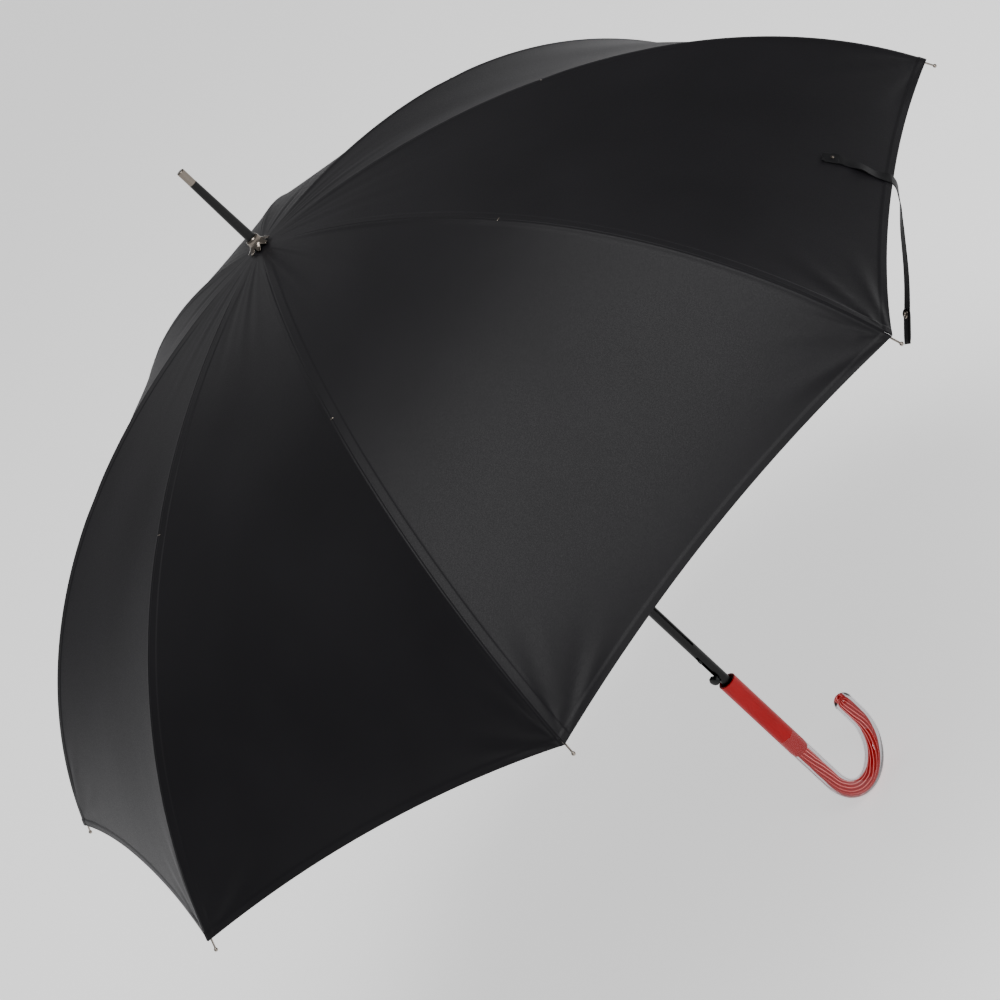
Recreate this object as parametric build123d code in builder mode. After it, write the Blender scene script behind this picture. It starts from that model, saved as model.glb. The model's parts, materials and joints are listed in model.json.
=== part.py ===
from build123d import *
from math import atan2, cos, degrees, hypot, radians, sin
import os

# Stick umbrella, shown open: eight ribs, automatic opening, clear crook handle.
# The origin is on the shaft's axis at the mouth of the handle. +Z runs up the shaft to the
# ferrule, and the crook bends in the XZ plane, towards +X. Lengths are in millimetres.

# canopy: lengths run along its outer face, in the plane of a rib
rib_count = 8
gore_angle = 360 / rib_count
rib_turn = 38  # first rib's azimuth from the crook's plane
rib_length = 600  # edge of the crown to the fabric's tip
crown_radius = 12  # where that length starts
crown_z = 606  # fabric's outer face at the crown
slope_start, slope_linear, slope_square = 0.078, 0.597, 0.415  # radians, over the rib's length
canopy_length = 600
hem_scallop = 12  # hem's cut-in midway between two ribs
gore_dip = 10  # a gore's sag below the straight line between two ribs, at the hem
hole_start = -5.5  # the fabric's edge under the crown cap
fabric = 0.6
seam_gap = 0.35  # between neighbouring half-gores, half of it each

# ribs and stretchers
pivot_radius = 9
pivot_drop = 4.4
rib_offset = 2.8  # rib's centreline below the fabric's outer face
rib_radius = 1.3
joint_arc = 265  # stretcher joint, along the rib
joint_drop = 4.8  # its pin below the rib's centreline
stretcher_radius = 1.2
blade = 1.4  # flat ends and tongues
fork_gap = 0.15
fork_ear = 0.8
ring_radius = 0.6
ring_clearance = 0.08
rivet_radius = 0.8
rivet_clearance = 0.06
joint_boss = 1.9  # radius of the tongue's and the fork's rounded ends
rib_boss = 1.7  # and of the rib's end on the ring wire
fold_angle = 59  # a rib's turn from open to closed

# shaft, runner and handle
shaft_radius = 5
shaft_bore = 4.5
shaft_low, shaft_high = -62, 608
slot_width, slot_spare = 2.4, 8  # for the follower's pin
pin_radius = 1
follower_radius = 4.2  # clears the top catch's root, 4.3 from the axis
runner_clearance = 0.08
runner_radius = 7
press_gap = 0.02  # between the runner's sleeve and the notch on it
notch_radius = 12
notch_slot = 2.4
keyway = 6.3
keyway_width = 4.4
closed_gap = 20  # closed runner above the handle's mouth
button_z = 12
catch_z = 34
handle_radius = 9.3
sleeve_length = 84
cup_radius, cup_depth = 7.4, 14
cone_length = 24
core_radius = 4.6
crook_radius = 39.5
crook_drop = 155
crook_leg = 21
ferrule_length = 95
sleeve_foot = 4.7  # ferrule's radius at the crown
cap_length = 15
tip_radius = 3.6
tenon_radius = 2.4
catch_slot = 3.6
top_slot = 3

# closing strap
strap_gore = 5
strap_across = 0.53
strap_width = 10
strap_lift = 1.5
strap_cloth = 0.8

os.makedirs("parts", exist_ok=True)


def save(part, name):
    part.label = name
    export_step(part, f"parts/{name}.step")


def slope(s):
    u = max(s, 0) / rib_length
    return slope_start + slope_linear * u + slope_square * u * u


def outer_point(s, steps=60):
    # radius and height of the fabric's outer face over a rib
    if s < 0:
        return crown_radius + s * cos(slope_start), crown_z - s * sin(slope_start)
    r, z, step = crown_radius, crown_z, s / steps
    for i in range(steps):
        a = slope((i + 0.5) * step)
        r, z = r + step * cos(a), z - step * sin(a)
    return r, z


def below(s, drop):
    # a point under the outer face, along its normal in the rib's plane
    r, z = outer_point(s)
    return r - drop * sin(slope(s)), z - drop * cos(slope(s))


def gore_point(azimuth, s, across, lift=0.0):
    # a point of the gore that starts at this azimuth: across is 0 at its first rib, 0.5 midway
    r, z = outer_point(s)
    a, b = radians(azimuth), radians(azimuth + gore_angle)
    middle = (a + b) / 2
    side = 1 - across
    x = r * (cos(a) * side + cos(b) * across)
    y = r * (sin(a) * side + sin(b) * across)
    depth = gore_dip * max(s, 0) / rib_length * 4 * across * side - lift
    inward = -depth * sin(slope(s))
    return Vector(x + inward * cos(middle), y + inward * sin(middle), z - depth * cos(slope(s)))


def sheet(rows, thickness, towards):
    # a thin closed sheet through a grid of points, thickened towards one side
    face = Face.make_surface_from_array_of_points(rows, tol=0.02, min_deg=3, max_deg=5)
    with BuildPart() as cloth:
        thicken(face, amount=thickness, normal_override=towards)
    return cloth.part


pivot_z = crown_z - pivot_drop
joint_r, joint_z = below(joint_arc, rib_offset + joint_drop)
link = hypot(joint_r - pivot_radius, pivot_z - joint_z)  # crown pivot to joint, joint to runner
link_angle = degrees(atan2(pivot_z - joint_z, joint_r - pivot_radius))
runner_z = 2 * joint_z - pivot_z  # runner's pivots, canopy open
travel = 2 * link * (sin(radians(link_angle + fold_angle)) - sin(radians(link_angle)))
sleeve_low = runner_z - travel - closed_gap  # length of sleeve below its pivots
sleeve_end = runner_z - sleeve_low
print("joint", joint_r, joint_z, "pivot z", pivot_z, "link", link, link_angle)
print("runner z", runner_z, "travel", travel, "sleeve end", sleeve_end)

# ---- shaft: a steel tube, slotted for the spring's pin and for the two catches
pin_z = runner_z - 40
follower_low = pin_z - 5
with BuildPart() as shaft_tube:
    with BuildSketch(Plane.XY.offset(shaft_low)):
        Circle(shaft_radius)
        Circle(shaft_bore, mode=Mode.SUBTRACT)
    extrude(amount=shaft_high - shaft_low)
    with BuildSketch(Plane.XZ):
        with Locations((0, pin_z - travel / 2)):
            SlotOverall(travel + slot_spare, slot_width, rotation=90)
    extrude(amount=shaft_radius + 1, both=True, mode=Mode.SUBTRACT)
    with BuildSketch(Plane.YZ):
        with Locations((0, (button_z + catch_z) / 2 + 1)):
            RectangleRounded(catch_slot, catch_z - button_z + 14, 0.8)
    extrude(amount=-(shaft_radius + 1), mode=Mode.SUBTRACT)
    with BuildSketch(Plane.YZ):
        with Locations((0, sleeve_end - 7)):
            RectangleRounded(top_slot, 16, 0.8)
    extrude(amount=shaft_radius + 1, mode=Mode.SUBTRACT)
save(shaft_tube.part, "shaft_tube")

# ---- ferrule: tapered sleeve on a plug in the tube's end, with a metal cap
ferrule_top = crown_z + ferrule_length
plug_low = crown_z - 22
cap_floor = 2
with BuildPart() as ferrule_sleeve:
    with BuildSketch(Plane.XZ):
        with BuildLine():
            Polyline(
                (0, plug_low),
                (shaft_bore, plug_low),
                (shaft_bore, shaft_high),
                (sleeve_foot, shaft_high),
                (sleeve_foot - 0.1, shaft_high + 10),
                (tip_radius + 0.1, ferrule_top - cap_length),
                (tenon_radius, ferrule_top - cap_length),
                (tenon_radius, ferrule_top - cap_floor),
                (0, ferrule_top - cap_floor),
                close=True,
            )
        make_face()
    revolve(axis=Axis.Z)
save(ferrule_sleeve.part, "ferrule_sleeve")

with BuildPart() as ferrule_cap:
    with BuildSketch(Plane.XY.offset(ferrule_top - cap_length)):
        Circle(tip_radius)
    extrude(amount=cap_length)
    fillet(ferrule_cap.edges().sort_by(Axis.Z)[-1], 0.8)
    with BuildSketch(Plane.XY.offset(ferrule_top - cap_length)):
        Circle(tenon_radius)
    extrude(amount=cap_length - cap_floor, mode=Mode.SUBTRACT)
save(ferrule_cap.part, "ferrule_cap")

# ---- crown cap: a collar and a star of eight petals that flare down over the fabric
petal_low = crown_z + 0.9
with BuildPart() as crown_cap:
    with BuildSketch(Plane.XZ):
        with BuildLine():
            Polyline(
                (4.75, crown_z + 11),
                (5.6, crown_z + 11),
                (5.9, crown_z + 6.5),
                (7.6, crown_z + 4.4),
                (11.2, petal_low),
                (10.2, petal_low),
                (6.9, crown_z + 3.2),
                (5.2, crown_z + 3.2),
                (4.75, crown_z + 3.2),
                close=True,
            )
        make_face()
    revolve(axis=Axis.Z)
    with BuildSketch(Plane.XY.offset(petal_low - 2)):
        with PolarLocations(12.6, rib_count, start_angle=rib_turn + gore_angle / 2):
            Circle(3.1)
    extrude(amount=12, mode=Mode.SUBTRACT)
save(crown_cap.part, "crown_cap")

# ---- crown notch: slotted hub that carries the ribs on a ring wire
notch_top = crown_z - 1.5
notch_low = crown_z - 11
with BuildPart() as crown_notch:
    with BuildSketch(Plane.XY.offset(notch_low)):
        Circle(notch_radius)
        Circle(shaft_radius, mode=Mode.SUBTRACT)
    extrude(amount=notch_top - notch_low)
    with BuildSketch(Plane.XY.offset(notch_low - 8)):
        Circle(runner_radius + 0.6)
        Circle(shaft_radius, mode=Mode.SUBTRACT)
    extrude(amount=8)
    with BuildSketch(Plane.XY.offset(notch_low - 1)):
        with PolarLocations(pivot_radius + 2, rib_count, start_angle=rib_turn):
            Rectangle(8.6, notch_slot)
    extrude(amount=notch_top - notch_low + 2, mode=Mode.SUBTRACT)
    with BuildSketch(Plane.XZ):
        with Locations((pivot_radius, pivot_z)):
            Circle(ring_radius)
    revolve(axis=Axis.Z, mode=Mode.SUBTRACT)
save(crown_notch.part, "crown_notch")

with BuildPart() as crown_ring_wire:
    with BuildSketch(Plane.XZ):
        with Locations((pivot_radius, pivot_z)):
            Circle(ring_radius)
    revolve(axis=Axis.Z)
save(crown_ring_wire.part, "crown_ring_wire")

# ---- runner: sleeve, slotted notch, ring wire in the notch's lobes, and the spring's follower
notch_up, notch_down = 6, 4
collar_low = runner_z - 20
notch_tall = runner_z + notch_up - collar_low
with BuildPart() as runner_sleeve:
    with BuildSketch(Plane.XY.offset(sleeve_end)):
        Circle(runner_radius)
        Circle(shaft_radius + runner_clearance, mode=Mode.SUBTRACT)
    extrude(amount=sleeve_low + notch_up)
    with BuildSketch(Plane.XY.offset(sleeve_end)):
        Rectangle(2 * keyway, keyway_width)
    extrude(amount=sleeve_low + notch_up, mode=Mode.SUBTRACT)
    with BuildSketch(Plane.XZ):
        with Locations((0, pin_z)):
            Circle(pin_radius)
    extrude(amount=runner_radius + 1, both=True, mode=Mode.SUBTRACT)
save(runner_sleeve.part, "runner_sleeve")

with BuildPart() as runner_notch:
    with BuildSketch(Plane.XY.offset(runner_z - notch_down)):
        Circle(notch_radius)
    extrude(amount=notch_down + notch_up)
    with BuildSketch(Plane.XY.offset(collar_low)):
        Circle(runner_radius + 1.2)
    extrude(amount=runner_z - notch_down - collar_low, taper=-4)
    with BuildSketch(Plane.XY.offset(collar_low)):
        Circle(runner_radius + press_gap)
    extrude(amount=notch_tall, mode=Mode.SUBTRACT)
    with BuildSketch(Plane.XY.offset(collar_low)):
        with PolarLocations(runner_radius + 4.2, rib_count, start_angle=rib_turn):
            Rectangle(8, notch_slot)
    extrude(amount=notch_tall, mode=Mode.SUBTRACT)
    with BuildSketch(Plane.XZ):
        with Locations((pivot_radius, runner_z)):
            Circle(ring_radius)
    revolve(axis=Axis.Z, mode=Mode.SUBTRACT)
save(runner_notch.part, "runner_notch")

with BuildPart() as runner_ring_wire:
    with BuildSketch(Plane.XZ):
        with Locations((pivot_radius, runner_z)):
            Circle(ring_radius)
    revolve(axis=Axis.Z)
    with BuildSketch(Plane.XY.offset(runner_z - 1)):
        with PolarLocations(pivot_radius, rib_count, start_angle=rib_turn):
            Rectangle(4, notch_slot)
    extrude(amount=2, mode=Mode.SUBTRACT)
save(runner_ring_wire.part, "runner_ring_wire")

with BuildPart() as spring_follower:
    with BuildSketch(Plane.XY.offset(follower_low)):
        Circle(follower_radius)
    extrude(amount=12)
    with BuildSketch(Plane.XZ):
        with Locations((0, pin_z)):
            Circle(pin_radius)
    extrude(amount=runner_radius - 0.1, both=True)
save(spring_follower.part, "spring_follower")

# ---- opening spring in the shaft, between its seat and the follower
spring_low = 46
coil_radius, coil_wire, coil_turns = 2.2, 0.4, 36
with BuildPart() as spring_seat:
    with BuildSketch(Plane.XY.offset(spring_low - 6)):
        Circle(shaft_bore)
    extrude(amount=6)
save(spring_seat.part, "spring_seat")

coil_length = follower_low - spring_low - 2 * coil_wire
with BuildPart() as main_spring:
    with BuildLine():
        coil = Helix(coil_length / coil_turns, coil_length, coil_radius, center=(0, 0, spring_low + coil_wire))
    with BuildSketch(Plane(origin=coil @ 0, z_dir=coil % 0)):
        Circle(coil_wire)
    sweep(path=coil)
save(main_spring.part, "main_spring")

# ---- push-button with its catch, and the catch that holds the open runner
with BuildPart() as push_button:
    with BuildSketch(Plane.YZ.offset(-7.3)):
        with Locations((0, button_z)):
            Circle(4)
    extrude(amount=-4.2)
    fillet(push_button.faces().sort_by(Axis.X)[0].edges(), 1.2)
    with BuildSketch(Plane.YZ.offset(-2)):
        with Locations((0, button_z)):
            Circle(1.5)
    extrude(amount=-5.4)
save(push_button.part, "push_button")

with BuildPart() as bottom_catch:
    with BuildSketch(Plane.XZ):
        with BuildLine():
            Polyline(
                (-2, button_z - 3),
                (-0.8, button_z - 3),
                (-0.8, catch_z + 5),
                (-2, catch_z + 5),
                (-5.9, catch_z + 2.5),
                (-5.9, catch_z - 1.5),
                (-2, catch_z - 1.5),
                close=True,
            )
        make_face()
    extrude(amount=1.3, both=True)
save(bottom_catch.part, "bottom_catch")

with BuildPart() as top_catch:
    with BuildSketch(Plane.XZ):
        with BuildLine():
            Polyline(
                (4.3, sleeve_end - 14),
                (4.6, sleeve_end - 14),
                (5.9, sleeve_end - 3),
                (5.9, sleeve_end - 0.5),
                (4.3, sleeve_end - 0.5),
                close=True,
            )
        make_face()
    extrude(amount=1.1, both=True)
save(top_catch.part, "top_catch")

with BuildPart() as catch_springs:
    with BuildSketch(Plane.XZ):
        with Locations((3.9, button_z + 3)):
            Rectangle(0.7, 24)
        with Locations((0.55, button_z - 7)):
            Rectangle(7.4, 0.7)
    extrude(amount=1, both=True)
save(catch_springs.part, "catch_spring")

# ---- handle: red sleeve with an open cup, clear crook, red cord along its middle
sleeve_z = -sleeve_length
with BuildPart() as handle_sleeve:
    with BuildSketch(Plane.XZ):
        with BuildLine():
            Polyline(
                (shaft_radius, -cup_depth),
                (cup_radius, -cup_depth),
                (cup_radius, -0.8),
                (cup_radius + 0.8, 0),
                (handle_radius - 0.6, 0),
                (handle_radius, -0.6),
                (handle_radius, sleeve_z),
                (core_radius + 0.4, sleeve_z - cone_length),
                (core_radius, sleeve_z - cone_length),
                (core_radius, shaft_low),
                (shaft_radius, shaft_low),
                close=True,
            )
        make_face()
    revolve(axis=Axis.Z)
save(handle_sleeve.part, "handle_sleeve")

with BuildPart() as handle_collar:
    with BuildSketch(Plane.XY.offset(-cup_depth)):
        Circle(cup_radius)
        Circle(shaft_radius, mode=Mode.SUBTRACT)
    extrude(amount=8)
    chamfer(handle_collar.edges().filter_by(GeomType.CIRCLE).sort_by(Axis.Z)[-1], 0.3)
save(handle_collar.part, "handle_collar")


def crook_path(start, leg):
    with BuildLine(Plane.XZ) as path:
        Line((0, start), (0, -crook_drop))
        CenterArc((crook_radius, -crook_drop), crook_radius, 180, 180)
        Line((2 * crook_radius, -crook_drop), (2 * crook_radius, leg - crook_drop))
    return path.line


with BuildPart() as handle_crook:
    with BuildSketch(Plane.XY.offset(sleeve_z)):
        Circle(handle_radius)
    sweep(path=crook_path(sleeve_z, crook_leg))
    with Locations((2 * crook_radius, 0, crook_leg - crook_drop)):
        Sphere(handle_radius)
    with BuildSketch(Plane.XZ):
        with BuildLine():
            Polyline(
                (0, sleeve_z),
                (handle_radius, sleeve_z),
                (core_radius + 0.4, sleeve_z - cone_length),
                (0, sleeve_z - cone_length),
                close=True,
            )
        make_face()
    revolve(axis=Axis.Z, mode=Mode.SUBTRACT)
    with BuildSketch(Plane.XY.offset(sleeve_z)):
        Circle(core_radius)
    sweep(path=crook_path(sleeve_z, crook_leg), mode=Mode.SUBTRACT)
save(handle_crook.part, "handle_crook")

with BuildPart() as handle_cord:
    with BuildSketch(Plane.XY.offset(shaft_low - 2)):
        Circle(core_radius)
    sweep(path=crook_path(shaft_low - 2, crook_leg))
save(handle_cord.part, "handle_cord")

# ---- ribs: blade in the crown notch, long rod, tongue with the joint's rivet, ball tip
rod_start, rod_end = 4, 597
tip_wire_radius = 0.8
tip_wire = 13  # bare wire out of the fabric's tip, up to the ball's middle
ball_radius = 1.75
with BuildPart() as first_rib:
    rod_points = [below(s, rib_offset) for s in (rod_start, 90, 180, 270, 360, 450, 530, rod_end)]
    with BuildLine(Plane.XZ) as rod_path:
        rod = Spline(*rod_points)
    with BuildSketch(Plane(origin=rod @ 0, z_dir=rod % 0)):
        Circle(rib_radius)
    sweep(path=rod)
    end_slope = slope(rod_end)
    tip_r, tip_z = below(rod_end - 1, rib_offset)
    tip_plane = Plane(origin=(tip_r, 0, tip_z), z_dir=(cos(end_slope), 0, -sin(end_slope)))
    with BuildSketch(tip_plane):
        Circle(tip_wire_radius)
    extrude(amount=tip_wire)
    with Locations(tip_plane.offset(tip_wire)):
        Sphere(ball_radius)
    # blade that turns on the ring wire
    start_r, start_z = below(rod_start + 3, rib_offset)
    with BuildSketch(Plane.XZ):
        with BuildLine():
            Polyline(
                (pivot_radius, pivot_z + rib_boss),
                (start_r, start_z + 0.9),
                (start_r, start_z - 1),
                (pivot_radius, pivot_z - rib_boss),
                close=True,
            )
        make_face()
        with Locations((pivot_radius, pivot_z)):
            Circle(rib_boss)
    extrude(amount=blade / 2, both=True)
    with BuildSketch(Plane.XZ):
        with Locations((pivot_radius, pivot_z)):
            Circle(ring_radius + ring_clearance)
    extrude(amount=blade, both=True, mode=Mode.SUBTRACT)
    # tongue and rivet at the stretcher joint
    back_r, back_z = below(joint_arc - 6, rib_offset)
    front_r, front_z = below(joint_arc + 6, rib_offset)
    with BuildSketch(Plane.XZ):
        with BuildLine():
            Polyline(
                (back_r, back_z),
                (front_r, front_z),
                (joint_r + 1.7, joint_z),
                (joint_r - 1.7, joint_z),
                close=True,
            )
        make_face()
        with Locations((joint_r, joint_z)):
            Circle(joint_boss)
    extrude(amount=blade / 2, both=True)
    with BuildSketch(Plane.XZ):
        with Locations((joint_r, joint_z)):
            Circle(rivet_radius)
    extrude(amount=blade / 2 + fork_gap + fork_ear + 0.3, both=True)

# ---- stretchers: tongue at the runner, rod, fork over the rib's tongue
reach = Vector(pivot_radius - joint_r, 0, runner_z - joint_z)  # joint to runner, rib in the XZ plane
along = reach.normalized()
fork_start = Vector(joint_r, 0, joint_z) + along * 7
tongue_start = Vector(pivot_radius, 0, runner_z) - along * 12
link_plane = Plane(origin=(joint_r, 0, joint_z), x_dir=along, z_dir=(0, -1, 0))
ear_offset = blade / 2 + fork_gap
with BuildPart() as first_stretcher:
    with BuildSketch(Plane(origin=fork_start, z_dir=along)):
        Circle(stretcher_radius)
    extrude(amount=(tongue_start - fork_start).length)
    with BuildSketch(link_plane.offset(ear_offset)):
        with BuildLine():
            Polyline((0, joint_boss), (9, 1.5), (9, -1.5), (0, -joint_boss), close=True)
        make_face()
        Circle(joint_boss)
        Circle(rivet_radius + rivet_clearance, mode=Mode.SUBTRACT)
    extrude(amount=fork_ear)
    with BuildSketch(link_plane.offset(-ear_offset)):
        with BuildLine():
            Polyline((0, joint_boss), (9, 1.5), (9, -1.5), (0, -joint_boss), close=True)
        make_face()
        Circle(joint_boss)
        Circle(rivet_radius + rivet_clearance, mode=Mode.SUBTRACT)
    extrude(amount=-fork_ear)
    with BuildSketch(link_plane):
        with Locations((8, 0)):
            Rectangle(3, 2.6)
    extrude(amount=ear_offset + fork_ear, both=True)
    with BuildSketch(link_plane):
        with Locations((reach.length - 7, 0)):
            Rectangle(14, 2.8)
        with Locations((reach.length, 0)):
            Circle(1.4)
    extrude(amount=blade / 2, both=True)

for k in range(rib_count):
    azimuth = rib_turn + k * gore_angle
    save(first_rib.part.rotate(Axis.Z, azimuth), f"rib_{k + 1}")
    save(first_stretcher.part.rotate(Axis.Z, azimuth), f"stretcher_{k + 1}")

# ---- canopy: each gore is two half-gores that meet midway between its ribs
station_count = 15


def half_gore(azimuth, first_half):
    rows = []
    for i in range(6):
        row = []
        for j in range(station_count):
            s = hole_start + (canopy_length - hole_start) * j / (station_count - 1)
            gap = seam_gap / (2 * outer_point(s)[0] * sin(radians(gore_angle / 2)))
            across = gap + (0.5 - 2 * gap) * i / 5
            if not first_half:
                across = 1 - across
            s -= hem_scallop * 4 * across * (1 - across) * max(s, 0) / canopy_length
            row.append(gore_point(azimuth, s, across))
        rows.append(row)
    middle = radians(azimuth + gore_angle / 2)
    return sheet(rows, fabric, (-cos(middle) * 0.7, -sin(middle) * 0.7, -1))


for k in range(rib_count):
    azimuth = rib_turn + k * gore_angle
    before = azimuth - gore_angle
    save(half_gore(azimuth, True), f"half_gore_{k + 1}a")
    save(half_gore(before, False), f"half_gore_{k + 1}b")

# ---- closing strap: sewn to a gore near the hem, its free end hanging over the edge
strap_azimuth = rib_turn + strap_gore * gore_angle
hem_turn = radians(strap_azimuth + gore_angle / 2 + 90)
hem_side = Vector(cos(hem_turn), sin(hem_turn), 0)
hang = Vector(-0.733, 0.258, -0.629)  # straight down when the umbrella lies tilted, as shown
hang_side = Vector(0.578, 0.723, -0.378)
outwards = Vector(0.2, -0.5, 0) * 6  # clear of the hem
centres = [gore_point(strap_azimuth, s, strap_across, strap_lift) for s in range(524, 585, 10)]
sides = [hem_side] * len(centres)
edge_point = gore_point(strap_azimuth, 594, strap_across, strap_lift + 0.6)
turns = ((0, 0.9), (9, 0.7), (18, 0.5), (28, 0.35), (40, 0.2), (54, 0.1), (70, 0.05), (86, 0), (102, 0), (118, 0))
for drop, share in turns:
    centres.append(edge_point + hang * drop + outwards * min(drop / 12, 1))
    sides.append((hem_side * share + hang_side * (1 - share)).normalized())
strap_rows = [
    [c + side * (strap_width * (i / 2 - 0.5)) for c, side in zip(centres, sides)] for i in range(3)
]
strap_face = Face.make_surface_from_array_of_points(strap_rows, tol=0.02, min_deg=2, max_deg=3)
with BuildPart() as closing_strap:
    thicken(strap_face, amount=strap_cloth / 2, both=True)
save(closing_strap.part, "closing_strap")

snap_at = centres[-2]
snap_axis = (hang.cross(hang_side)).normalized()
with BuildPart() as strap_snap:
    with BuildSketch(Plane(origin=snap_at + snap_axis * 1.2, z_dir=snap_axis)):
        Circle(4)
    extrude(amount=1.2)
    with BuildSketch(Plane(origin=snap_at + snap_axis * 2.4, z_dir=snap_axis)):
        Circle(2)
    extrude(amount=0.8)
save(strap_snap.part, "strap_snap")
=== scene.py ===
import bpy
import json
import math
import numpy as np
from mathutils import Matrix, Vector


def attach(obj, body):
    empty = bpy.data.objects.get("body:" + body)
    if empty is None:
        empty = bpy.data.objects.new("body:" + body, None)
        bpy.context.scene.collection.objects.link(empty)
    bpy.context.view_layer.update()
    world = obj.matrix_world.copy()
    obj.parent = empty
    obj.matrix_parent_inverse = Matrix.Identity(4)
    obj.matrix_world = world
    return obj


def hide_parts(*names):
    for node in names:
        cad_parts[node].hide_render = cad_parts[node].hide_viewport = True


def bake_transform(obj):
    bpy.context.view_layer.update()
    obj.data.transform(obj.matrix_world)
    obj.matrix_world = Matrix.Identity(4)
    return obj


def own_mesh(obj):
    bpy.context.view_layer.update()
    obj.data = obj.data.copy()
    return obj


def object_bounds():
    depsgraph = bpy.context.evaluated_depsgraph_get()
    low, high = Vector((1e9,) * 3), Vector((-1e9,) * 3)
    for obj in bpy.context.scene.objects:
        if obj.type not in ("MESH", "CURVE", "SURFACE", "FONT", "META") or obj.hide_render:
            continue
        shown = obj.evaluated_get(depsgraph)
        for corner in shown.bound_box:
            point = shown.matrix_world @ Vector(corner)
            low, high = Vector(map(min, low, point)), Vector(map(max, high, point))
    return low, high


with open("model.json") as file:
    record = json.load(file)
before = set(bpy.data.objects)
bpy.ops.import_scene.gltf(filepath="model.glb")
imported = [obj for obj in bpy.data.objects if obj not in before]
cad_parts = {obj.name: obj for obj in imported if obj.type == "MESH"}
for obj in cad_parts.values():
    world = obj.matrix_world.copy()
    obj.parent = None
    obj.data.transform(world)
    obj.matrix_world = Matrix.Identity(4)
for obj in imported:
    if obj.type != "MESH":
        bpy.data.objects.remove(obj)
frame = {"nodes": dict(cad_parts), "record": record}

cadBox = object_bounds()
record = frame["record"]

# everything is in metres, +Z up the shaft, the crook bends towards +X
canopy = {
    "ribs": 8,
    "turn": 38.0,  # first rib's azimuth, degrees
    "ribLength": 0.600,
    "crownRadius": 0.012,
    "crownHeight": 0.606,
    "slopes": (0.078, 0.597, 0.415),
    "length": 0.600,
    "scallop": 0.014,
    "dip": 0.007,
    "holeStart": -0.0055,
    "cloth": 0.0004,
    "fullness": 2.5,  # how soon the cloth falls away beside a rib
    "seamGroove": 0.0005,
    "seamRidge": 0.0007,
    "fellWidth": 0.008,
    "fellHeight": 0.0004,
    "hemWidth": 0.007,
    "hemHeight": 0.0005,
    "tipWrinkle": 0.0005,
    "crownPleat": 0.0003,
    "slackness": 0.0012,
    "tieArc": 0.265,
    "tieDimple": 0.0004,
    "bareFrom": 0.5075,  # reach at which a rib's enamel ends and its plated tip wire starts
    "foldSpan": 0.176,  # how far from the seam a half-gore bends when the umbrella closes
    "flatSize": (0.2, 0.61),
    "nearRib": (0, 0.4, 0.8, 1.2, 1.7, 2.3, 3.0, 4.0, 5.5, 7.0, 7.6, 8.2, 8.8, 10, 12),  # mesh columns, mm
    "acrossColumns": 26,
}
crook = {
    "radius": 0.0093,
    "bend": 0.0395,
    "drop": 0.155,
    "leg": 0.021,
    "top": 0.0841,
    "cordRadius": 0.0036,
    "cordStart": 0.064,
    "strands": 9,
    "strandDepth": 0.16,
    "twistLength": 0.20,
    "around": 72,
    "bendSteps": 120,
    "domeSteps": 30,
}
strap = {
    "width": 0.010,
    "cloth": 0.0008,
    "lift": 0.0015,
    "gore": 5,
    "across": 0.53,
    "start": 0.524,
    "last": 0.583,
    "over": 0.5885,
    "hang": (-0.715, 0.226, -0.663),
    "side": (0.578, 0.723, -0.378),
    "drop": 0.131,
    "metal": (  # snap cap's radius and height pairs
        (0, 0), (0.0040, 0), (0.0042, 0.0005), (0.0038, 0.0012), (0.0022, 0.0014), (0.0019, 0.0022), (0, 0.0024),
    ),
    "pull": (0.357, -0.641, -0.680),  # the hanging end stands off the hem this way
    "pullDepth": 0.0035,
    "twist": (5, 13),  # degrees at the hem, and how many more by the end
    "pads": {"strap_patch": (0.0109, 0.0012), "strap_tab": (0.0108, 0.0022)},  # width and thickness
    "padRoundness": 6,
    "folded": 0.1,  # the free end's length when the umbrella is closed, as a share of its open length
}


def linear(hexColour):
    parts = [int(hexColour[i:i + 2], 16) / 255 for i in (1, 3, 5)]
    return [c / 12.92 if c <= 0.04045 else ((c + 0.055) / 1.055) ** 2.4 for c in parts] + [1.0]


def newMaterial(name, values):
    material = bpy.data.materials.new(name)
    material.use_nodes = True
    shader = material.node_tree.nodes["Principled BSDF"]
    for socket, value in values.items():
        shader.inputs[socket].default_value = value
    return material, shader


def joinTo(material, node, links):
    for socket, source in links.items():  # a source is a node, whose first output is used, or an output
        output = source if isinstance(source, bpy.types.NodeSocket) else source.outputs[0]
        material.node_tree.links.new(output, node.inputs[socket])


def addNode(material, kind, settings=None, links=None, stops=()):
    node = material.node_tree.nodes.new(kind)
    for key, value in (settings or {}).items():
        if isinstance(key, int) or key in node.inputs:
            node.inputs[key].default_value = value
        else:
            setattr(node, key, value)
    if stops:
        while len(node.color_ramp.elements) < len(stops):
            node.color_ramp.elements.new(0.5)
        for element, (place, colour) in zip(node.color_ramp.elements, stops):
            element.position = place
            element.color = colour
    joinTo(material, node, links or {})
    return node


def grey(value):
    return (value, value, value, 1)


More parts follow.
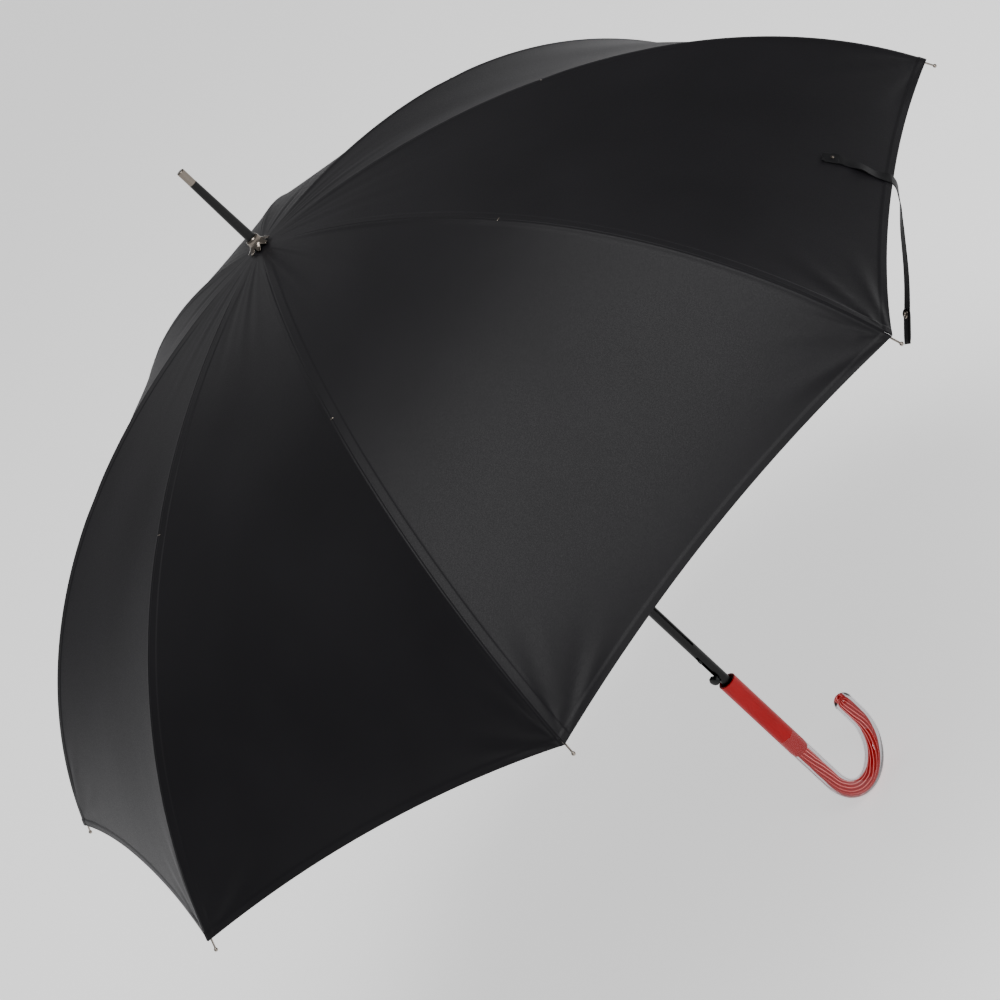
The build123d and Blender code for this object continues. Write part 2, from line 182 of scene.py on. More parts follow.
# polyester pongee, plain woven from fine filament and calendered: a soft satin gloss on near-black
def clothMaterial(name, dark, light):
    material, shader = newMaterial(name, {
        "Sheen Weight": 0.02, "Sheen Roughness": 0.4, "Sheen Tint": linear("#9a90b0"), "Specular IOR Level": 0.2,
    })
    place = addNode(material, "ShaderNodeTexCoord").outputs["Object"]
    patches = addNode(material, "ShaderNodeTexNoise", {"Scale": 9.0, "Detail": 2.0}, {"Vector": place})
    colour = addNode(material, "ShaderNodeValToRGB", {}, {"Fac": patches}, [
        (0.3, linear(dark)), (0.7, linear(light)),
    ])
    # threads are 0.2 mm apart, drawn about four times coarser so that they show
    threads = addNode(material, "ShaderNodeTexNoise", {"Scale": 1100.0, "Detail": 1.0}, {"Vector": place})
    rough = addNode(material, "ShaderNodeValToRGB", {}, {"Fac": threads}, [(0.3, grey(0.46)), (0.7, grey(0.56))])
    creases = addNode(material, "ShaderNodeTexNoise", {"Scale": 26.0, "Detail": 3.0}, {"Vector": place})
    soft = addNode(material, "ShaderNodeBump", {"Strength": 0.2, "Distance": 0.0012}, {"Height": creases})
    weave = addNode(material, "ShaderNodeBump", {"Strength": 0.3, "Distance": 0.00016},
                    {"Height": threads, "Normal": soft})
    joinTo(material, shader, {"Base Color": colour, "Roughness": rough, "Normal": weave})
    return material


# nickel plate over brass, tumbled: warm grey mirror with faint handling marks
def nickelMaterial():
    material, shader = newMaterial("nickelPlate", {"Metallic": 1.0, "Base Color": linear("#7a726a")})
    place = addNode(material, "ShaderNodeTexCoord").outputs["Object"]
    marks = addNode(material, "ShaderNodeTexNoise", {"Scale": 420.0, "Detail": 4.0}, {"Vector": place})
    rough = addNode(material, "ShaderNodeValToRGB", {}, {"Fac": marks}, [(0.35, grey(0.10)), (0.75, grey(0.28))])
    joinTo(material, shader, {"Roughness": rough})
    return material


# stove enamel or moulded plastic, told apart by gloss and grain
def blackMaterial(name, colour, low, high, grainScale, relief, coat):
    material, shader = newMaterial(name, {
        "Base Color": linear(colour), "Coat Weight": coat, "Coat Roughness": 0.08, "Specular IOR Level": 0.2,
    })
    place = addNode(material, "ShaderNodeTexCoord").outputs["Object"]
    marks = addNode(material, "ShaderNodeTexNoise", {"Scale": grainScale, "Detail": 3.0}, {"Vector": place})
    rough = addNode(material, "ShaderNodeValToRGB", {}, {"Fac": marks}, [(0.3, grey(low)), (0.75, grey(high))])
    grain = addNode(material, "ShaderNodeBump", {"Strength": 0.3, "Distance": relief}, {"Height": marks})
    joinTo(material, shader, {"Roughness": rough, "Normal": grain})
    return material


# drawn spring wire: dull grey steel with a faint oil film
def wireMaterial():
    material, shader = newMaterial("drawnWire", {"Metallic": 1.0, "Base Color": linear("#8d8d8f")})
    place = addNode(material, "ShaderNodeTexCoord").outputs["Object"]
    marks = addNode(material, "ShaderNodeTexNoise", {"Scale": 900.0, "Detail": 2.0}, {"Vector": place})
    rough = addNode(material, "ShaderNodeValToRGB", {}, {"Fac": marks}, [(0.3, grey(0.28)), (0.7, grey(0.45))])
    joinTo(material, shader, {"Roughness": rough})
    return material


# black enamelled rib wire whose bare nickel-plated end stands out beyond the cloth
def ribMaterial(bareFrom):
    material, shader = newMaterial("enamelledRib", {"Coat Weight": 0.3})
    place = addNode(material, "ShaderNodeTexCoord").outputs["Object"]
    split = addNode(material, "ShaderNodeSeparateXYZ", {}, {"Vector": place})
    flat = addNode(material, "ShaderNodeCombineXYZ", {}, {"X": split.outputs["X"], "Y": split.outputs["Y"]})
    reach = addNode(material, "ShaderNodeVectorMath", {"operation": "LENGTH"}, {0: flat})
    bare = addNode(material, "ShaderNodeMath", {"operation": "GREATER_THAN", 1: bareFrom},
                   {0: reach.outputs["Value"]})
    colour = addNode(material, "ShaderNodeValToRGB", {}, {"Fac": bare}, [
        (0.0, linear("#151516")), (1.0, linear("#8c847c")),
    ])
    marks = addNode(material, "ShaderNodeTexNoise", {"Scale": 600.0, "Detail": 2.0}, {"Vector": place})
    rough = addNode(material, "ShaderNodeValToRGB", {}, {"Fac": marks}, [(0.3, grey(0.24)), (0.75, grey(0.4))])
    joinTo(material, shader, {"Metallic": bare, "Base Color": colour, "Roughness": rough})
    return material


# injection-moulded, glossy red plastic. Its cone is bonded inside the clear acrylic, so it has no
# gloss of its own there, and the emission stands for the light that the acrylic gathers onto it
def redMaterial():
    material, shader = newMaterial("redMoulding", {"Specular IOR Level": 0.2})
    place = addNode(material, "ShaderNodeTexCoord").outputs["Object"]
    tone = addNode(material, "ShaderNodeTexNoise", {"Scale": 22.0, "Detail": 2.0}, {"Vector": place})
    colour = addNode(material, "ShaderNodeValToRGB", {}, {"Fac": tone}, [
        (0.3, linear("#a60008")), (0.7, linear("#b4000e")),
    ])
    split = addNode(material, "ShaderNodeSeparateXYZ", {}, {"Vector": place})
    inside = addNode(material, "ShaderNodeMath", {"operation": "LESS_THAN", 1: -crook["top"]},
                     {0: split.outputs["Z"]})
    outside = addNode(material, "ShaderNodeMath", {"operation": "SUBTRACT", 0: 1.0}, {1: inside})
    lit = addNode(material, "ShaderNodeVectorMath", {"operation": "SCALE"}, {0: colour, "Scale": outside})
    marks = addNode(material, "ShaderNodeTexNoise", {"Scale": 260.0, "Detail": 3.0}, {"Vector": place})
    gloss = addNode(material, "ShaderNodeValToRGB", {}, {"Fac": marks}, [(0.3, grey(0.14)), (0.75, grey(0.24))])
    rough = addNode(material, "ShaderNodeMath", {"operation": "MAXIMUM"}, {0: gloss, 1: inside})
    joinTo(material, shader, {
        "Base Color": lit, "Emission Color": colour, "Emission Strength": inside, "Roughness": rough,
    })
    return material


# cast acrylic, flame polished: clear as glass, with its light bent round the red strands
def acrylicMaterial():
    material, shader = newMaterial("castAcrylic", {
        "Transmission Weight": 1.0, "IOR": 1.49, "Base Color": linear("#c8c3c6"),
    })
    place = addNode(material, "ShaderNodeTexCoord").outputs["Object"]
    marks = addNode(material, "ShaderNodeTexNoise", {"Scale": 300.0, "Detail": 2.0}, {"Vector": place})
    rough = addNode(material, "ShaderNodeValToRGB", {}, {"Fac": marks}, [(0.3, grey(0.03)), (0.8, grey(0.06))])
    joinTo(material, shader, {"Roughness": rough})
    return material


# glossy twisted strands: deep red, with pale pink lines and lighter red beside them painted along each strand as
# highlights.
# The emission stands for the light that the clear acrylic gathers onto them
def strandMaterial():
    material, shader = newMaterial("twistedStrands", {
        "Specular IOR Level": 0.1, "Roughness": 0.5, "Emission Strength": 0.6,
    })
    coordinates = addNode(material, "ShaderNodeTexCoord")
    split = addNode(material, "ShaderNodeSeparateXYZ", {}, {"Vector": coordinates.outputs["UV"]})
    turns = addNode(material, "ShaderNodeMath", {"operation": "MULTIPLY", 1: float(crook["strands"])},
                    {0: split.outputs["X"]})
    waver = addNode(material, "ShaderNodeTexNoise", {"Scale": 45.0, "Detail": 2.0},
                    {"Vector": coordinates.outputs["Object"]})
    drift = addNode(material, "ShaderNodeMath", {"operation": "MULTIPLY_ADD", 1: 0.6}, {0: waver, 2: turns})
    phase = addNode(material, "ShaderNodeMath", {"operation": "FRACT"}, {0: drift})
    # painted highlights: the pale pink ends of the ramp and the lighter red next to them
    colour = addNode(material, "ShaderNodeValToRGB", {}, {"Fac": phase}, [
        (0.0, linear("#ffe0d8")), (0.06, linear("#d83038")), (0.12, linear("#c00008")), (0.5, linear("#8c0004")),
        (0.88, linear("#c00008")), (0.94, linear("#d83038")), (1.0, linear("#ffe0d8")),
    ])
    joinTo(material, shader, {"Base Color": colour, "Emission Color": colour})
    return material


materials = {
    "canopy_cloth": clothMaterial("pongeeCloth", "#0e0d10", "#131215"),
    "strap_cloth": clothMaterial("strapTape", "#0b0b0c", "#101012"),
    "rib_steel": ribMaterial(canopy["bareFrom"]),
    "nickel": nickelMaterial(),
    "spring_steel": wireMaterial(),
    "shaft_enamel": blackMaterial("shaftEnamel", "#060606", 0.26, 0.38, 500.0, 0.00003, 0.0),
    "ferrule_black": blackMaterial("ferruleGloss", "#040405", 0.10, 0.18, 300.0, 0.00002, 0.1),
    "black_plastic": blackMaterial("mouldedNylon", "#0e1212", 0.38, 0.55, 700.0, 0.00006, 0.0),
    "red_plastic": redMaterial(),
    "clear_acrylic": acrylicMaterial(),
    "red_cord": strandMaterial(),
}
for row in record["subparts"]:
    node = frame["nodes"][row["node"]]
    node.data.materials.clear()
    node.data.materials.append(materials[row["material_slot"]])
print("materials done")

# the opening spring shortens between its seat and the follower as the runner comes down; here it only gets a mesh of
# its own
spring = frame["nodes"]["main_spring"]
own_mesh(spring)


# cloth, the petals and the twisted strands are laid out on a grid
def gridPiece(name, columns, rows, shape):
    bpy.ops.object.select_all(action="DESELECT")
    bpy.ops.mesh.primitive_grid_add(x_subdivisions=columns, y_subdivisions=rows, size=1)
    piece = bpy.context.object
    piece.name = name
    mesh = piece.data
    places = np.array([v.co for v in mesh.vertices])
    places = shape(places[:, 0] + 0.5, places[:, 1] + 0.5)
    mesh.vertices.foreach_set("co", places.ravel())
    mesh.update()
    return piece


def tidyMesh(piece, flip=False):
    bpy.ops.object.select_all(action="DESELECT")
    piece.select_set(True)
    bpy.context.view_layer.objects.active = piece
    bpy.ops.object.mode_set(mode="EDIT")
    bpy.ops.mesh.select_all(action="SELECT")
    bpy.ops.mesh.remove_doubles(threshold=0.000004)
    bpy.ops.mesh.normals_make_consistent(inside=False)
    if flip:
        bpy.ops.mesh.flip_normals()
    bpy.ops.object.mode_set(mode="OBJECT")
    bpy.ops.object.shade_smooth()


def thicken(piece, depth, offset):
    wall = piece.modifiers.new("wall", "SOLIDIFY")
    wall.thickness = depth
    wall.offset = offset
    bpy.ops.object.select_all(action="DESELECT")
    piece.select_set(True)
    bpy.context.view_layer.objects.active = piece
    bpy.ops.object.modifier_apply(modifier=wall.name)


def finishPiece(piece, slotName):
    piece.data.materials.clear()
    piece.data.materials.append(materials[slotName])


def turnedPiece(name, profile, sides, origin, axis, slotName, smoothAngle=40):
    # a vertex is extruded along the (radius, height) profile, which is then spun about the axis
    axis = Vector(axis).normalized()
    outwards = axis.orthogonal().normalized()
    corners = [Vector(origin) + outwards * radius + axis * height for radius, height in profile]
    bpy.ops.object.select_all(action="DESELECT")
    bpy.ops.mesh.primitive_plane_add(size=0.001)
    piece = bpy.context.object
    piece.name = name
    bpy.ops.object.mode_set(mode="EDIT")
    bpy.ops.mesh.select_all(action="SELECT")
    bpy.ops.mesh.merge(type="CENTER")
    bpy.ops.transform.translate(value=corners[0])
    for here, there in zip(corners, corners[1:]):
        bpy.ops.mesh.extrude_region_move(TRANSFORM_OT_translate={"value": there - here})
    bpy.ops.mesh.select_all(action="SELECT")
    bpy.ops.mesh.spin(steps=sides, angle=2 * math.pi, center=origin, axis=axis)
    bpy.ops.object.mode_set(mode="OBJECT")
    tidyMesh(piece)
    bpy.ops.object.shade_smooth_by_angle(angle=math.radians(smoothAngle))
    finishPiece(piece, slotName)
    return piece


# the ribs' bow, from their slope along the arc
fineSteps = np.linspace(0, canopy["ribLength"], 1201)
fineSlopes = sum(c * (fineSteps / canopy["ribLength"]) ** i for i, c in enumerate(canopy["slopes"]))
stepLength = fineSteps[1]
middleSlopes = (fineSlopes[1:] + fineSlopes[:-1]) / 2
ribReach = canopy["crownRadius"] + np.concatenate([[0], np.cumsum(np.cos(middleSlopes)) * stepLength])
ribHeight = canopy["crownHeight"] - np.concatenate([[0], np.cumsum(np.sin(middleSlopes)) * stepLength])


def slopeAt(s):
    return np.interp(s, fineSteps, fineSlopes)


def ribPoint(s):
    before = np.minimum(s, 0)
    start = canopy["slopes"][0]
    r = np.interp(s, fineSteps, ribReach) + before * math.cos(start)
    return r, np.interp(s, fineSteps, ribHeight) - before * math.sin(start)


def smooth(x):
    x = np.clip(x, 0, 1)
    return x * x * (3 - 2 * x)


def gorePoint(azimuth, s, across, lift):
    r, z = ribPoint(s)
    a = math.radians(azimuth)
    b = a + 2 * math.pi / canopy["ribs"]
    middle = (a + b) / 2
    x = r * (math.cos(a) * (1 - across) + math.cos(b) * across)
    y = r * (math.sin(a) * (1 - across) + math.sin(b) * across)
    hollow = 1 - np.abs(1 - 2 * across) ** canopy["fullness"]
    depth = canopy["dip"] * np.maximum(s, 0) / canopy["ribLength"] * hollow - lift
    inward = -depth * np.sin(slopeAt(s))
    return np.stack([x + inward * math.cos(middle), y + inward * math.sin(middle), z - depth * np.cos(slopeAt(s))], 1)


def goreRelief(s, across, fromRib, ribNumber, side):
    # every term is the same on both sides of a seam and of the line midway between two ribs
    share = np.clip(s / canopy["length"], 0, 1)
    away = fromRib * side * 1000  # signed distance from the seam, mm
    nearRib = np.minimum(across, 1 - across)
    fade = 1 - smooth(2 * nearRib)
    opened = smooth(share * 8)
    lift = canopy["seamRidge"] * np.exp(-((away + 2.2) / 2.4) ** 2) * opened * fade
    lift -= canopy["seamGroove"] * np.exp(-(away / 0.7) ** 2) * opened
    fell = smooth(away / 1.2 + 0.5) - smooth((away - canopy["fellWidth"] * 1000) / 1.4 + 0.5)
    lift += canopy["fellHeight"] * fell * opened * fade
    toHem = canopy["length"] - s - canopy["scallop"] * 4 * across * (1 - across)
    lift += canopy["hemHeight"] * (1 - smooth((toHem - canopy["hemWidth"]) / 0.0012 + 0.5))
    tipLine = canopy["length"] - s
    toTip = np.hypot(fromRib, tipLine)
    bearing = np.arctan2(fromRib, np.maximum(tipLine, 0.0005))
    folds = np.sin(bearing * 11 + ribNumber * 1.7) + 0.6 * np.sin(bearing * 19 + ribNumber)
    lift += canopy["tipWrinkle"] * folds * np.exp(-((toTip - 0.05) / 0.035) ** 2) * smooth(fromRib / 0.012) * fade
    gore = (ribNumber if side > 0 else ribNumber - 1) % canopy["ribs"]
    bell = np.sin(across * math.pi) ** 2
    pleats = np.sin(across * 6 * math.pi + gore * 2.1) + 0.7 * np.sin(across * 11 * math.pi + gore)
    lift += canopy["crownPleat"] * pleats * bell * np.exp(-((s - 0.07) / 0.06) ** 2) * smooth(s / 0.03)
    tie = np.hypot(fromRib / 0.010, (s - canopy["tieArc"]) / 0.014)
    lift -= canopy["tieDimple"] * np.exp(-tie ** 2)
    drape = np.sin(s * 13 + gore * 2.3 + across * 2) + 0.5 * np.sin(s * 29 - gore * 1.3 + across * 5)
    lift += canopy["slackness"] * drape * bell * smooth(share * 2)
    return lift


columnSteps = np.concatenate([
    np.array(canopy["nearRib"]) / 1000,
    np.linspace(0.012, 0.193, canopy["acrossColumns"])[1:],
])
rowSteps = np.concatenate([
    np.linspace(canopy["holeStart"], 0.580, 148), np.linspace(0.580, canopy["length"], 17)[1:],
])


def halfGore(ribNumber, side):
    azimuth = canopy["turn"] + ribNumber * 45 - (0 if side > 0 else 45)
    fineEdge = canopy["nearRib"][-1] / 1000

    def shape(u, v):
        wanted = columnSteps[np.rint(u * (len(columnSteps) - 1)).astype(int)]
        s0 = rowSteps[np.rint(v * (len(rowSteps) - 1)).astype(int)]
        half = ribPoint(s0)[0] * math.sin(math.pi / canopy["ribs"])
        squeeze = np.minimum(half / 0.04, 1)
        rest = (wanted - fineEdge) / (columnSteps[-1] - fineEdge)
        spread = fineEdge * squeeze + rest * (half - fineEdge * squeeze)
        fromRib = np.where(wanted <= fineEdge, wanted * squeeze, spread)
        across = np.minimum(fromRib / (2 * half), 0.5)
        if side < 0:
            across = 1 - across
        s = s0 - canopy["scallop"] * 4 * across * (1 - across) * np.maximum(s0, 0) / canopy["length"]
        return gorePoint(azimuth, s, across, goreRelief(s, across, fromRib, ribNumber, side))

    letter = "a" if side > 0 else "b"
    piece = gridPiece(f"gore_cloth_{ribNumber + 1}{letter}", len(columnSteps) - 1, len(rowSteps) - 1, shape)
    tidyMesh(piece)
    if sum(p.normal.z * p.area for p in piece.data.polygons) < 0:
        tidyMesh(piece, flip=True)
    thicken(piece, canopy["cloth"], -1)
    bpy.ops.object.shade_smooth_by_angle(angle=math.radians(50))
    finishPiece(piece, "canopy_cloth")
    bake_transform(piece)
    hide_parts(f"half_gore_{ribNumber + 1}{letter}")


for ribNumber in range(canopy["ribs"]):
    halfGore(ribNumber, 1)
    halfGore(ribNumber, -1)
print("canopy done")


def crookFrame(distance):
    # place and direction along the handle's centreline, from the mouth down
    x, z = np.zeros_like(distance), -distance
    dx, dz = np.zeros_like(distance), -np.ones_like(distance)
    bendLength = math.pi * crook["bend"]
    onBend = (distance > crook["drop"]) & (distance <= crook["drop"] + bendLength)
    angle = (distance - crook["drop"]) / crook["bend"]
    x = np.where(onBend, crook["bend"] * (1 - np.cos(angle)), x)
    z = np.where(onBend, -crook["drop"] - crook["bend"] * np.sin(angle), z)
    dx, dz = np.where(onBend, np.sin(angle), dx), np.where(onBend, -np.cos(angle), dz)
    onLeg = distance > crook["drop"] + bendLength
    x = np.where(onLeg, 2 * crook["bend"], x)
    z = np.where(onLeg, distance - 2 * crook["drop"] - bendLength, z)
    dx, dz = np.where(onLeg, 0, dx), np.where(onLeg, 1, dz)
    return x, z, dx, dz


crookLength = crook["drop"] + math.pi * crook["bend"] + crook["leg"]


def strandShape(start, end, radius, lobes, depth, twist):
    # the first rows close the near end flat and the last rows round off the far end
    def shape(u, v):
        body = np.clip((v - 0.04) / 0.84, 0, 1)
        near = np.clip(v / 0.04, 0, 1)
        dome = np.clip((v - 0.88) / 0.12, 0, 1) * math.pi / 2
        distance = start + (end - start) * body + radius * np.sin(dome)
        turn = 2 * math.pi * u
        wave = 1 + depth * (np.abs(np.cos(lobes * turn / 2)) - 0.5)
        r = radius * np.cos(dome) * near * wave
        angle = turn + distance * 2 * math.pi / twist
        x, z, dx, dz = crookFrame(distance)
        out, across = r * np.cos(angle), r * np.sin(angle)
        return np.stack([x - dz * out, across, z + dx * out], 1)
    return shape


def crookAcrylic():
    # a ring is extruded down, spun round the bend, extruded up the leg and drawn in to a dome
    radius, bend, drop = crook["radius"], crook["bend"], crook["drop"]
    bpy.ops.object.select_all(action="DESELECT")
    bpy.ops.mesh.primitive_circle_add(vertices=crook["around"], radius=radius)
    piece = bpy.context.object
    piece.name = "crook_acrylic"
    bpy.ops.object.mode_set(mode="EDIT")
    bpy.ops.mesh.select_all(action="SELECT")
    bpy.ops.transform.translate(value=(0, 0, -crook["top"]))
    bpy.ops.mesh.extrude_region_move(TRANSFORM_OT_translate={"value": (0, 0, crook["top"] - drop)})
    bpy.ops.mesh.spin(steps=crook["bendSteps"], angle=math.pi, center=(bend, 0, -drop), axis=(0, 1, 0))
    bpy.ops.mesh.extrude_region_move(TRANSFORM_OT_translate={"value": (0, 0, crook["leg"])})
    turns = [math.pi / 2 * step / crook["domeSteps"] for step in range(crook["domeSteps"] + 1)]
    for before, after in zip(turns, turns[1:]):
        rise = radius * (math.sin(after) - math.sin(before))
        bpy.ops.mesh.extrude_region_move(TRANSFORM_OT_translate={"value": (0, 0, rise)})
        ringHeight = crook["leg"] - drop + radius * math.sin(after)
        share = max(math.cos(after) / math.cos(before), 0.0001)
        bpy.ops.transform.resize(value=(share, share, 1), center_override=(2 * bend, 0, ringHeight))
    bpy.ops.mesh.merge(type="CENTER")
    bpy.ops.mesh.select_all(action="DESELECT")
    bpy.ops.object.mode_set(mode="OBJECT")
    for vertex in piece.data.vertices:  # the ring inside the red sleeve is closed flat
        vertex.select = abs(vertex.co.z + crook["top"]) < 0.00001
    bpy.ops.object.mode_set(mode="EDIT")
    bpy.ops.mesh.edge_face_add()
    bpy.ops.object.mode_set(mode="OBJECT")
    tidyMesh(piece)
    bpy.ops.object.shade_smooth_by_angle(angle=math.radians(50))
    finishPiece(piece, "clear_acrylic")
    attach(piece, "root")
    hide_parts("handle_crook")


crookAcrylic()
cord = gridPiece("crook_cord", crook["strands"] * 14, 420, strandShape(
    crook["cordStart"], crookLength, crook["cordRadius"],
    crook["strands"], crook["strandDepth"], crook["twistLength"]))
tidyMesh(cord)
finishPiece(cord, "red_cord")
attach(cord, "root")
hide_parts("handle_cord")
print("handle done")


cap = {
    "profile": (  # radius and height above the crown, from the collar's top to the petals' tips
        (0.0048, 0.0030), (0.0048, 0.0108), (0.0053, 0.0112), (0.0057, 0.0104), (0.0059, 0.0080),
        (0.0062, 0.0060), (0.0072, 0.0046), (0.0086, 0.0034), (0.0103, 0.0023), (0.0121, 0.0017),
    ),
    "collarPoints": 6,  # how many runs of the profile belong to the collar
    "petalReach": 1.15,
    "petalSharpness": 1.6,
    "metal": 0.0005,
    "around": 192,
}
button = {
    "profile": (
        (0, 0), (0.0015, 0), (0.0015, 0.0052), (0.0038, 0.0052), (0.0050, 0.0062), (0.0052, 0.0084),
        (0.0043, 0.0099), (0.0024, 0.0106), (0, 0.0107),
    ),
    "place": (-0.002, 0, 0.012),
    "sides": 10,
}
tie = {
    "halfLength": 0.0022,
    "radius": 0.0006,
    "sink": 0.0004,
}


def capShape(u, v):
    turn = 2 * math.pi * u
    radii, heights = np.array(cap["profile"]).T
    collar, flare = cap["collarPoints"], len(radii) - 1 - cap["collarPoints"]
    at = v * (len(radii) - 1)
    petal = np.abs(np.cos((turn - math.radians(canopy["turn"])) * canopy["ribs"] / 2)) ** cap["petalSharpness"]
    # between two petals the flare stops at the collar's foot
    reach = flare * np.clip(petal * cap["petalReach"], 0, 1)
    at = np.where(at > collar, collar + (at - collar) / flare * reach, at)
    r = np.interp(at, range(len(radii)), radii)
    z = canopy["crownHeight"] + np.interp(at, range(len(radii)), heights)
    return np.stack([r * np.cos(turn), r * np.sin(turn), z], 1)


crownCap = gridPiece("crown_petals", cap["around"], 3 * (len(cap["profile"]) - 1), capShape)
tidyMesh(crownCap)
bpy.ops.object.shade_smooth_by_angle(angle=math.radians(40))
finishPiece(crownCap, "nickel")
thicken(crownCap, cap["metal"], 1)
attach(crownCap, "root")
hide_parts("crown_cap")

knob = turnedPiece("button_knob", button["profile"], button["sides"], button["place"], (-1, 0, 0),
                   "black_plastic", 20)
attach(knob, "button")
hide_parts("push_button")

bulge = [
    (tie["radius"] * math.sin(math.pi * i / 8) ** 0.5, tie["halfLength"] * (i / 4 - 1)) for i in range(9)
]
for ribNumber in range(canopy["ribs"]):
    ribTurn = math.radians(canopy["turn"] + ribNumber * 45)
    tieR, tieZ = (float(c[0]) for c in ribPoint(np.array([canopy["tieArc"]])))
    tiePlace = (tieR * math.cos(ribTurn), tieR * math.sin(ribTurn), tieZ - tie["sink"])
    tieAxis = Vector((-math.sin(ribTurn), math.cos(ribTurn), 0))
    stitch = turnedPiece(f"tie_stitch_{ribNumber + 1}", bulge, 12, tiePlace, tieAxis, "nickel")
    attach(stitch, f"rib_{ribNumber + 1}")
print("small parts done")


def strapPiece():
    azimuth = canopy["turn"] + strap["gore"] * 45
    hemTurn = math.radians(azimuth + 22.5 + 90)
    hemSide = Vector((math.cos(hemTurn), math.sin(hemTurn), 0))
    hang, hangSide = Vector(strap["hang"]).normalized(), Vector(strap["side"]).normalized()
    hangFace = hangSide.cross(hang).normalized()

    def onCloth(s, lift):
        return Vector(gorePoint(azimuth, np.array([s]), np.array([strap["across"]]), lift)[0])

    edge = onCloth(strap["over"], strap["lift"] + 0.0006)
    centres, sides = [], []
    for s in np.linspace(strap["start"], strap["last"], 22):
        share = (s - strap["start"]) / (strap["last"] - strap["start"])
        lift = strap["lift"] + 0.0012 * math.sin(share * 8) ** 2 * smooth(share * 3)
        sway = hemSide * (0.0016 * math.sin(share * 5.2))
        centres.append(onCloth(s, lift) + sway)
        sides.append((hemSide + Vector((0, 0, 0.35)) * math.sin(share * 7)).normalized())
    foot = edge - centres[-1]
    strapOut = Vector(strap["pull"]) * strap["pullDepth"]
    for drop in np.linspace(0, strap["drop"], 44):
        share = max(0.0, 1 - drop / 0.040)
        twist = math.radians(strap["twist"][0] + strap["twist"][1] * float(smooth(drop / strap["drop"])))
        sway = hangFace * (0.0009 * math.sin(drop * 60))
        bend = foot * (0.3 + 0.7 * min(drop / 0.004, 1)) + strapOut * min(drop / 0.020, 1)
        centres.append(centres[21] + bend + hang * drop + sway)
        turned = hangSide * math.cos(twist) + hangFace * math.sin(twist)
        sides.append((hemSide * share + turned * (1 - share)).normalized())
    lengths = np.concatenate([[0], np.cumsum([(b - a).length for a, b in zip(centres, centres[1:])])])
    rows = np.array([list(c) for c in centres])
    wide = np.array([list(c) for c in sides])

    def shape(u, v):
        d = v * lengths[-1]
        centre = np.stack([np.interp(d, lengths, rows[:, i]) for i in range(3)], 1)
        side = np.stack([np.interp(d, lengths, wide[:, i]) for i in range(3)], 1)
        return centre + side * ((u - 0.5) * strap["width"])[:, None]

    piece = gridPiece("closing_strap_cloth", 8, 180, shape)
    tidyMesh(piece)
    thicken(piece, strap["cloth"], 0)
    bpy.ops.object.shade_smooth_by_angle(angle=math.radians(50))
    finishPiece(piece, "strap_cloth")
    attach(piece, "gore_7b")
    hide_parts("closing_strap")
    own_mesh(piece)

    # the turned-back ends: a sewn patch on the cloth and a doubled tab round the snap
    lastPlace = len(centres) - 1
    for name, first, last in (("strap_patch", 0, 5), ("strap_tab", lastPlace - 9, lastPlace)):
        width, depth = strap["pads"][name]
        along = (centres[last] - centres[first]).normalized()
        across = sides[(first + last) // 2]
        out = along.cross(across).normalized()
        tall = (centres[last] - centres[first]).length / 2
        middle = (centres[first] + centres[last]) / 2
        squareness = 2 / strap["padRoundness"]

        def block(u, v):
            # a pillow: a rounded rectangle, thick in the middle and thin at its rim
            turn, rise = u * 2 * math.pi, v * math.pi
            cx, cy = np.cos(turn), np.sin(turn)
            x = np.sign(cx) * np.abs(cx) ** squareness * width / 2
            y = np.sign(cy) * np.abs(cy) ** squareness * tall
            rim = np.sin(rise) ** 0.25
            z = np.sign(np.cos(rise)) * np.abs(np.cos(rise)) ** 0.8 * depth / 2
            return (np.array(middle) + (x * rim)[:, None] * np.array(across)
                    + (y * rim)[:, None] * np.array(along) + z[:, None] * np.array(out))

        pad = gridPiece(name, 64, 16, block)
        tidyMesh(pad)
        bpy.ops.object.shade_smooth_by_angle(angle=math.radians(50))
        finishPiece(pad, "strap_cloth")
        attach(pad, "gore_7b")
        if name == "strap_tab":
            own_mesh(pad)

    facing = sides[-8].cross(hang).normalized()
    facing = facing if facing.dot(Vector((-0.578, -0.723, 0.378))) > 0 else -facing
    snap = turnedPiece("strap_snap_cap", strap["metal"], 32, centres[-9] + facing * 0.0010, facing, "nickel")
    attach(snap, "gore_7b")
    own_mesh(snap)
    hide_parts("strap_snap")
    small = [(r * 0.4, h * 0.6) for r, h in strap["metal"]]
    outOfCloth = Vector((0.3, -0.5, 0.8)).normalized()
    stud = turnedPiece("strap_stud", small, 24, centres[3] + outOfCloth * 0.0006, outOfCloth, "nickel")
    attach(stud, "gore_7b")


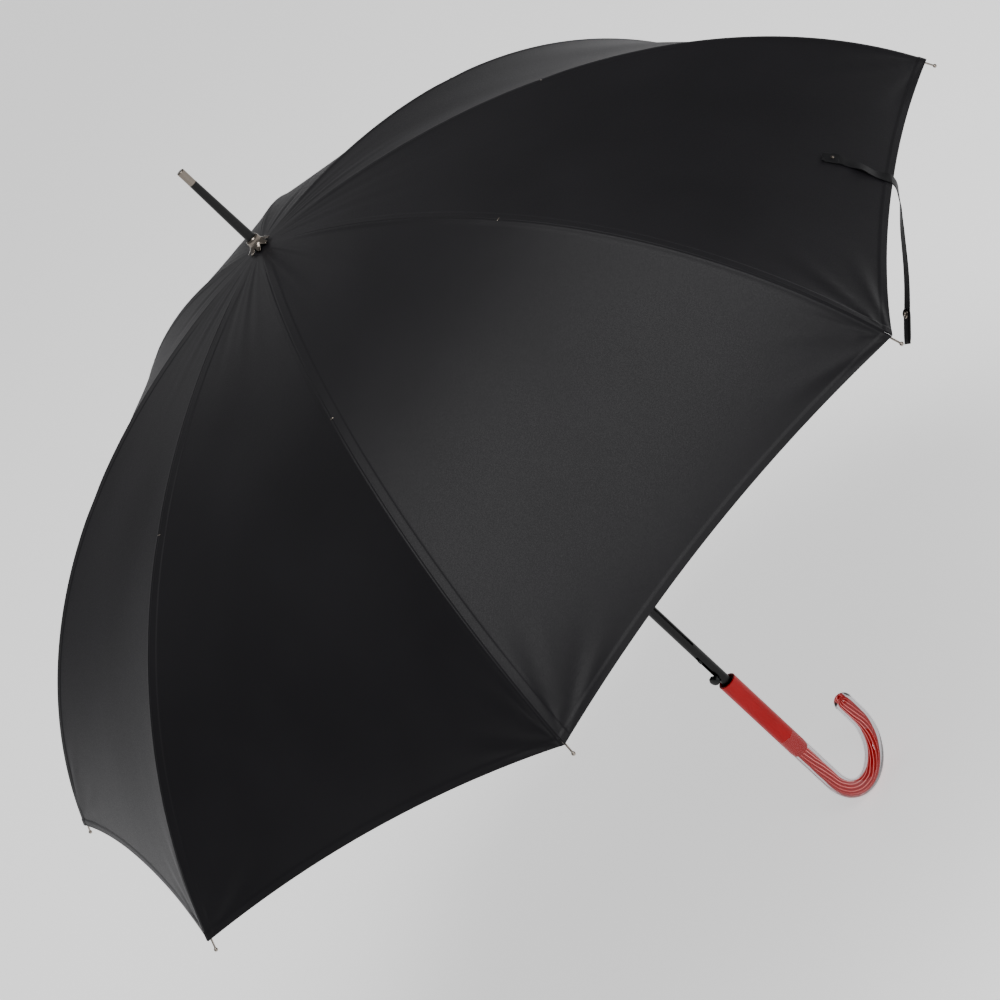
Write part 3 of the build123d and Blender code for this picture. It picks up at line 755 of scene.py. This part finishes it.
strapPiece()
print("strap done")

# floor, light and camera
lowest = cadBox[0][2]
bpy.ops.object.select_all(action="DESELECT")
bpy.ops.mesh.primitive_plane_add(size=60, location=(0, 0, lowest - 0.0005))
floor = bpy.context.object
floor.name = "floor"
floorMaterial, floorShader = newMaterial("paleFloor", {
    "Base Color": linear("#ffffff"), "Roughness": 0.9,
    "Emission Color": linear("#ffffff"), "Emission Strength": 0.8,
})
floor.data.materials.append(floorMaterial)

world = bpy.context.scene.world or bpy.data.worlds.new("studio")
bpy.context.scene.world = world
world.use_nodes = True
world.node_tree.nodes["Background"].inputs["Color"].default_value = linear("#ffffff")
world.node_tree.nodes["Background"].inputs["Strength"].default_value = 0.29

studio = {
    "target": (0, 0, 0.35),
    "keyLight": ((-0.62, -1.46, 2.9), (1.3, 3.4), 95),  # place, size, watts
    "rimLight": ((1.5, 2.5, 2.5), (1.6, 1.6), 6),
    "cameraPlace": (-1.53411, -1.88678, 1.27991),
    "cameraRight": (0.3574, -0.6407, -0.67954),
    "cameraForward": (0.57833, 0.72314, -0.37764),
    "lens": 106.56,
}


def softLight(name, place, size, power):
    bpy.ops.object.light_add(type="AREA", location=place)
    lamp = bpy.context.object
    lamp.name = name
    lamp.data.shape = "RECTANGLE"
    lamp.data.size, lamp.data.size_y = size
    lamp.data.energy = power
    aim = Vector(studio["target"]) - Vector(place)
    lamp.rotation_euler = aim.to_track_quat("-Z", "Y").to_euler()


for lightName in ("keyLight", "rimLight"):
    softLight(lightName, *studio[lightName])

cameraData = bpy.data.cameras.new("camera")
camera = bpy.data.objects.new("camera", cameraData)
bpy.context.collection.objects.link(camera)
bpy.context.scene.camera = camera
cameraData.lens = studio["lens"]
cameraData.sensor_width = 36
cameraData.clip_end = 100
right = Vector(studio["cameraRight"]).normalized()
forward = Vector(studio["cameraForward"]).normalized()
up = right.cross(forward)
turn = Matrix((right, up, -forward)).transposed()
camera.matrix_world = Matrix.Translation(studio["cameraPlace"]) @ turn.to_4x4()
print("stage done")
